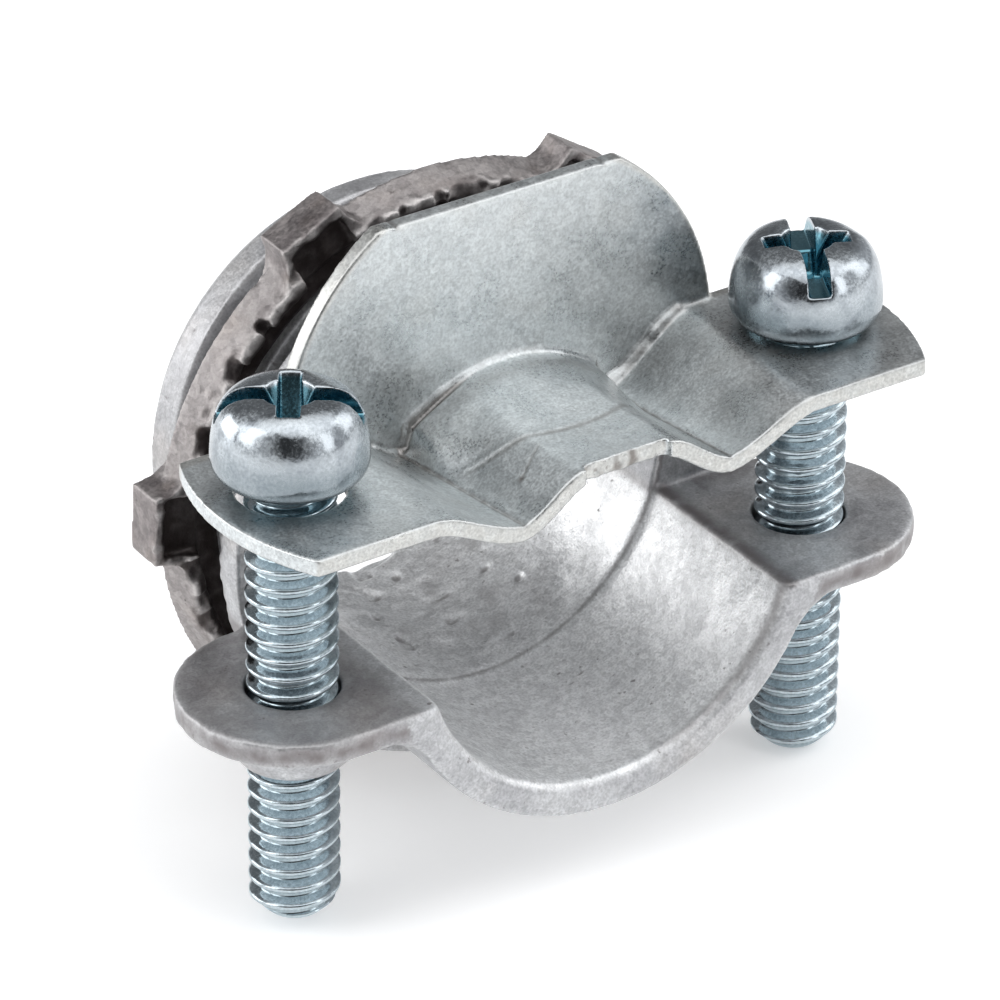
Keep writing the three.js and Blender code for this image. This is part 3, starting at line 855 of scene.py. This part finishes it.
def nut_solid():
    ring = turned([
        (NUT_BORE_R + 0.5, NUT_WEB),
        (14.95, NUT_WEB),
        (15.25, NUT_FRONT),
        (NUT_EDGE_R, NUT_FRONT),
        (NUT_RIM_R, 4.1),
        (15.6, 4.25),
        (15.1, NUT_BACK),
        (NUT_BORE_R + 0.5, NUT_BACK),
        (NUT_BORE_R, 4.9),
        (NUT_BORE_R, 3.6),
    ], 240)
    half = LUG_WIDTH / 2
    lugs, cuts = [], []
    for bay in range(LUG_COUNT):
        lug_angle = LUG_FIRST + bay * 2 * math.pi / LUG_COUNT
        turn = Matrix.Rotation(-lug_angle, 4, "Y")
        flared = [
            (15.3, -half - 1.2), (16.2, -half - 0.45), (16.9, -half), (LUG_R, -half + 0.15),
        ]
        flared += [(x, -z) for x, z in reversed(flared)]
        lugs.append(moved(prism(flared, 2.3, 4.8, "Y"), turn))
        recess = [
            (14.2, -half + 0.3), (17.3, -half + 0.4), (17.3, half - 0.4), (14.2, half - 0.3),
        ]
        cuts.append(moved(prism(recess, 1.5, 3.0, "Y"), turn))
        for tooth in range(-(TEETH_PER_BAY // 2), TEETH_PER_BAY // 2 + 1):
            wander = 1.6 * math.sin(9.7 * tooth + 4.1 * bay)
            angle = lug_angle + math.pi / LUG_COUNT + math.radians(6.1 * tooth + wander)
            wide = 0.62 + 0.3 * math.sin(5.3 * tooth + 2.9 * bay)
            deep = 0.32 + 0.26 * math.sin(3.1 * tooth + 1.7 * bay)
            lean = 0.5 * math.sin(7.7 * tooth + 2.3 * bay)
            gap = prism(
                [(-wide, -1), (wide, -1), (wide * 0.7 + lean, deep), (lean - wide, deep * 0.7)],
                -1, 2.6,
            )
            place = Matrix.Translation((0, NUT_FRONT, 14.9))
            cuts.append(moved(gap, place, Matrix.Rotation(math.pi / 2 - angle, 4, "Y")))
    add(ring, *lugs)
    cut(ring, *cuts)
    return remeshed(ring, NUT_CELL)


def nut_relief(p, n):
    front = beyond(p[:, 1], 3.1, 2.4)
    return (-0.03 + 0.02 * wave(p, 1.6, 31) + 0.012 * wave(p, 0.42, 32)
            + 0.11 * front * wave(p, 0.5, 33) - 0.05 * beyond(wave(p, 0.8, 34), 0.55, 0.9))


def paint_nut(ring):
    p, n = coordinates(ring.data), normals(ring.data)
    radius = np.hypot(p[:, 0], p[:, 2])
    facing = beyond(-n[:, 1], 0.3, 0.8) * beyond(p[:, 1], 2.25, 2.6)
    outward = (n[:, 0] * p[:, 0] + n[:, 2] * p[:, 2]) / radius
    inner = beyond(outward, 0.1, -0.3) * (p[:, 1] < 4)
    painted(ring, "dirt_and_shade", np.maximum(facing, inner))
    outer = beyond(outward, 0.5, 0.8) * beyond(radius, 16.95, 16.6)
    painted(ring, "polish", 0.35 * outer + 0.8 * near(p[:, 1], NUT_FRONT, 0.45) * (outward > -0.3))


def locknut():
    ring = nut_solid()
    softened(ring, 3)
    pushed(ring, nut_relief)
    edges_marked(ring)
    paint_nut(ring)
    return ring


# Materials

def link_or_set(tree, socket, value):
    if isinstance(value, bpy.types.NodeSocket):
        tree.links.new(value, socket)
    elif isinstance(value, tuple) and len(value) == 3 and socket.type == "RGBA":
        socket.default_value = (*value, 1)
    else:
        socket.default_value = value


def node(tree, kind, inputs, **settings):
    made = tree.nodes.new("ShaderNode" + kind)
    for key, value in settings.items():
        setattr(made, key, value)
    for key, value in inputs.items():
        link_or_set(tree, made.inputs[key], value)
    return made


def blend(tree, factor, a, b, mode="MIX"):
    made = tree.nodes.new("ShaderNodeMix")
    made.data_type = "RGBA"
    made.blend_type = mode
    for index, value in ((0, factor), (6, a), (7, b)):
        link_or_set(tree, made.inputs[index], value)
    return made.outputs[2]


def calc(tree, operation, a, b):
    made = tree.nodes.new("ShaderNodeMath")
    made.operation = operation
    link_or_set(tree, made.inputs[0], a)
    link_or_set(tree, made.inputs[1], b)
    return made.outputs[0]


def span(tree, value, low, high, to_low, to_high):
    """Carries value from low..high to to_low..to_high, softly at both ends."""
    made = node(tree, "MapRange", {
        "Value": value, "From Min": low, "From Max": high, "To Min": to_low, "To Max": to_high,
    }, interpolation_type="SMOOTHSTEP")
    return made.outputs["Result"]


def noise(tree, place, size, detail=3.0, distortion=0.0):
    """Noise with lumps about size millimetres across."""
    made = node(tree, "TexNoise", {
        "Vector": place, "Scale": 1 / (size * MM), "Detail": detail, "Distortion": distortion,
    })
    return made.outputs["Fac"]


def attribute(tree, name):
    return node(tree, "Attribute", {}, attribute_name=name).outputs["Fac"]


def scaled(tree, colour, shade):
    """The colour made lighter or darker by one value."""
    grey = node(tree, "CombineColor", {"Red": shade, "Green": shade, "Blue": shade}).outputs["Color"]
    return blend(tree, 1.0, colour, grey, "MULTIPLY")


def metal(name, light, dark, dirt_and_shade, polish, roughness, blotch, grain, bump, specks=0.0, sparkle=0.0,
          speck_size=0.42, warm=None, metallic=1.0, tint=None, smooth_part=None):
    """Worn metal with blotches, grain, dark specks, brighter edges, darker hollows, and grime and
    painted shade where painted.
    """
    made = bpy.data.materials.new(name)
    made.use_nodes = True
    tree = made.node_tree
    tree.nodes.clear()
    place = node(tree, "TexCoord", {}).outputs["Object"]
    broad = noise(tree, place, blotch, 4.0, 0.6)
    fine = noise(tree, place, grain, 5.0)
    mottle = noise(tree, place, blotch * 0.28, 3.0, 0.3)
    colour = blend(tree, span(tree, broad, 0.32, 0.68, 0.0, 1.0), dark, light)
    colour = blend(tree, span(tree, mottle, 0.35, 0.7, 0.0, 0.45), colour, light)
    if warm:
        drift = span(tree, noise(tree, place, blotch * 1.3, 2.0), 0.5, 0.72, 0.0, 0.5)
        colour = blend(tree, drift, colour, warm)
    uneven = span(tree, mottle, 0.28, 0.62, 0.72, 1.0)
    rubbed = calc(tree, "MULTIPLY", attribute(tree, "polish"), uneven)
    colour = blend(tree, rubbed, colour, polish)
    if sparkle:
        cells = node(tree, "TexVoronoi", {"Vector": place, "Scale": 1 / (grain * 2.2 * MM)})
        tone = node(tree, "SeparateColor", {"Color": cells.outputs["Color"]}).outputs["Red"]
        colour = scaled(tree, colour, span(tree, tone, 0.0, 1.0, 1.0 - sparkle, 1.0 + sparkle))
    colour = scaled(tree, colour, span(tree, fine, 0.3, 0.7, 0.82, 1.12))
    edge = attribute(tree, "edge")
    bulging = span(tree, edge, 0.56, 0.85, 0.0, 0.6)
    worn = calc(tree, "MULTIPLY", bulging, span(tree, fine, 0.3, 0.6, 0.4, 1.0))
    colour = blend(tree, worn, colour, polish)
    patch = span(tree, noise(tree, place, 1.6, 4.0, 0.4), 0.3, 0.6, 0.6, 1.0)
    # Hollows darken, and so do the painted dirt and painted shade, in patches.
    hollow = span(tree, edge, 0.44, 0.2, 0.0, 0.7)
    grime_and_shade = calc(tree, "MAXIMUM", hollow, calc(tree, "MULTIPLY", attribute(tree, "dirt_and_shade"), patch))
    colour = blend(tree, grime_and_shade, colour, dirt_and_shade)
    rough = span(tree, broad, 0.3, 0.7, roughness - 0.06, roughness + 0.08)
    rough = calc(tree, "ADD", rough, span(tree, fine, 0.3, 0.7, -0.06, 0.08))
    if specks:
        dots = noise(tree, place, speck_size, 2.5)
        patchy = span(tree, noise(tree, place, 3.2, 2.0), 0.4, 0.62, 0.25, 1.0)
        mask = calc(tree, "MULTIPLY", span(tree, dots, 0.65, 0.76, 0.0, specks), patchy)
        colour = blend(tree, mask, colour, dirt_and_shade)
        rough = calc(tree, "ADD", rough, calc(tree, "MULTIPLY", mask, 0.2))
    if tint:
        colour = blend(tree, calc(tree, "MULTIPLY", attribute(tree, "tint"), 0.8), colour, tint)
    if smooth_part is not None:
        dull = span(tree, attribute(tree, "dull"), 0.0, 1.0, smooth_part, 1.0)
        rough = calc(tree, "MULTIPLY", rough, dull)
    height = calc(tree, "ADD", fine, calc(tree, "MULTIPLY", mottle, 0.8))
    relief = node(tree, "Bump", {"Strength": bump, "Distance": 0.03 * MM, "Height": height})
    shader = node(tree, "BsdfPrincipled", {
        "Base Color": colour,
        "Metallic": metallic,
        "Roughness": rough,
        "Normal": relief.outputs["Normal"],
    })
    node(tree, "OutputMaterial", {"Surface": shader.outputs["BSDF"]})
    return made


casting_zinc = metal(
    "casting_zinc",
    light=(0.56, 0.565, 0.575), dark=(0.38, 0.38, 0.395),
    dirt_and_shade=(0.19, 0.17, 0.17), polish=(0.88, 0.885, 0.89),
    roughness=0.40, blotch=4.2, grain=0.15, bump=0.6, specks=0.75, speck_size=0.4, sparkle=0.09,
    warm=(0.52, 0.49, 0.47), metallic=0.6,
)
galvanised = metal(
    "galvanised",
    light=(0.67, 0.70, 0.705), dark=(0.55, 0.58, 0.59),
    dirt_and_shade=(0.16, 0.135, 0.12), polish=(0.56, 0.56, 0.54),
    roughness=0.34, blotch=2.6, grain=0.15, bump=0.14, sparkle=0.07,
    warm=(0.62, 0.635, 0.63), metallic=0.92,
)
bright_zinc = metal(
    "bright_zinc",
    light=(0.52, 0.56, 0.59), dark=(0.33, 0.36, 0.39),
    dirt_and_shade=(0.10, 0.14, 0.16), polish=(0.70, 0.75, 0.78),
    roughness=0.19, blotch=1.6, grain=0.16, bump=0.14,
    tint=(0.08, 0.27, 0.34), smooth_part=0.75,
)
dark_casting = metal(
    "dark_casting",
    light=(0.31, 0.285, 0.28), dark=(0.18, 0.16, 0.16),
    dirt_and_shade=(0.05, 0.04, 0.038), polish=(0.54, 0.515, 0.505),
    roughness=0.48, blotch=2.2, grain=0.2, bump=0.8, specks=0.5, sparkle=0.12,
    warm=(0.32, 0.27, 0.245), metallic=0.85,
)


# Pieces on their CAD bodies

finished(connector_body(), "cast_body", casting_zinc, "body", "connector_body")
finished(clamp_strap(), "formed_strap", galvanised, "strap", "clamp_strap")
finished(locknut(), "cast_locknut", dark_casting, "nut", "locknut")
screw_mesh = clamp_screw()
for side, x, head_z, turn in (
    ("left", -SCREW_X, LEFT_HEAD_Z, LEFT_SLOT_TURN),
    ("right", SCREW_X, RIGHT_HEAD_Z, RIGHT_SLOT_TURN),
):
    screw = screw_mesh.copy()
    screw.data = screw_mesh.data.copy()
    bpy.context.scene.collection.objects.link(screw)
    moved(
        screw,
        Matrix.Rotation(math.pi / 2, 4, "X"),
        Matrix.Rotation(turn, 4, "Z"),
        Matrix.Translation((x, SCREW_Y, head_z)),
    )
    finished(
        screw, f"{side}_plated_screw", bright_zinc,
        f"{side}_screw", f"{side}_clamp_screw",
    )
discard(screw_mesh)


# Floor, light and camera

FLOOR_Z = -17.75
FLOOR_HALF = 3  # metres
SKY_STRENGTH = 0.66
# Azimuth and elevation of each dark patch of sky, its inner and outer angle, and how dark it is.
DARK_PATCHES = (
    (-34, 25, 14, 46, 0.10),
    (165, 38, 20, 60, 0.30),
)

CAMERA_AZIMUTH = -34.03
CAMERA_ELEVATION = 30.27
CAMERA_ROLL = 0.365
CAMERA_DISTANCE = 366.4
SENSOR = 36.0
LENS = 253.6
AIM = (0, -6.9, 2.0)
AIM_RIGHT = -2.163
AIM_UP = -0.166


def direction(azimuth, elevation):
    """The way out from the middle at an azimuth, 0 at the front, and an elevation, in degrees."""
    a, e = math.radians(azimuth), math.radians(elevation)
    return math.sin(a) * math.cos(e), -math.cos(a) * math.cos(e), math.sin(e)


def floor_material():
    made = bpy.data.materials.new("pale_floor")
    made.use_nodes = True
    tree = made.node_tree
    tree.nodes.clear()
    place = node(tree, "TexCoord", {}).outputs["Object"]
    tone = span(tree, noise(tree, place, 60.0), 0.3, 0.7, 0.0, 1.0)
    colour = blend(tree, tone, (0.93, 0.93, 0.93), (0.95, 0.95, 0.95))
    shader = node(tree, "BsdfPrincipled", {
        "Base Color": colour,
        "Roughness": 0.9,
        "Emission Color": (1, 1, 1),
        "Emission Strength": 0.3,
    })
    node(tree, "OutputMaterial", {"Surface": shader.outputs["BSDF"]})
    return made


floor = new_object(
    "floor",
    [(x * FLOOR_HALF, y * FLOOR_HALF, FLOOR_Z * MM) for x, y in ((-1, -1), (1, -1), (1, 1), (-1, 1))],
    [(0, 1, 2, 3)],
)
floor.data.materials.append(floor_material())


def softbox(name, azimuth, elevation, distance, size, power):
    light = bpy.data.lights.new(name, "AREA")
    light.shape = "RECTANGLE"
    light.size, light.size_y = size
    light.energy = power
    obj = bpy.data.objects.new(name, light)
    back = Vector(direction(azimuth, elevation))
    obj.location = back * distance
    obj.rotation_mode = "QUATERNION"
    obj.rotation_quaternion = back.to_track_quat("Z", "Y")
    obj.visible_camera = False
    bpy.context.scene.collection.objects.link(obj)
    return obj


softbox("overhead", 10, 82, 0.5, (0.7, 0.7), 1.7)
softbox("left_key", -100, 30, 0.5, (0.22, 0.4), 0.6)
softbox("right_key", 22, 24, 0.55, (0.14, 0.4), 0.32)
softbox("right_fill", 75, 28, 0.55, (0.25, 0.42), 0.5)
softbox("back_left", -138, 12, 0.55, (0.35, 0.3), 0.8)

world = bpy.data.worlds.new("studio")
bpy.context.scene.world = world
world.use_nodes = True
sky = world.node_tree
outlook = node(sky, "TexCoord", {}).outputs["Generated"]
strength = SKY_STRENGTH
for azimuth, elevation, inner, outer, darkest in DARK_PATCHES:
    facing = direction(azimuth, elevation)
    aligned = node(sky, "VectorMath", {0: outlook, 1: facing}, operation="DOT_PRODUCT")
    edge_cosine, core_cosine = math.cos(math.radians(outer)), math.cos(math.radians(inner))
    dimmed = span(sky, aligned.outputs["Value"], edge_cosine, core_cosine, 1.0, darkest)
    strength = calc(sky, "MULTIPLY", dimmed, strength)
sky.nodes["Background"].inputs["Color"].default_value = (0.95, 0.97, 1.0, 1)
sky.links.new(strength, sky.nodes["Background"].inputs["Strength"])

bpy.context.scene.view_settings.view_transform = "Standard"

back = Vector(direction(CAMERA_AZIMUTH, CAMERA_ELEVATION))
turn = math.radians(CAMERA_AZIMUTH)
right = Vector((math.cos(turn), math.sin(turn), 0))
up = back.cross(right)
aim = Vector(AIM) + right * AIM_RIGHT + up * AIM_UP
tilt = Matrix.Rotation(math.radians(CAMERA_ROLL), 3, back)
rolled_right = tilt @ right
rolled_up = tilt @ up
camera_data = bpy.data.cameras.new("camera")
camera_data.sensor_width = SENSOR
camera_data.lens = LENS
camera_data.clip_start = 0.01
camera_data.clip_end = 10
camera = bpy.data.objects.new("camera", camera_data)
bpy.context.scene.collection.objects.link(camera)
camera.matrix_world = Matrix.Translation((aim + back * CAMERA_DISTANCE) * MM) @ Matrix((
    (rolled_right[0], rolled_up[0], back[0], 0),
    (rolled_right[1], rolled_up[1], back[1], 0),
    (rolled_right[2], rolled_up[2], back[2], 0),
    (0, 0, 0, 1),
))
bpy.context.scene.camera = camera
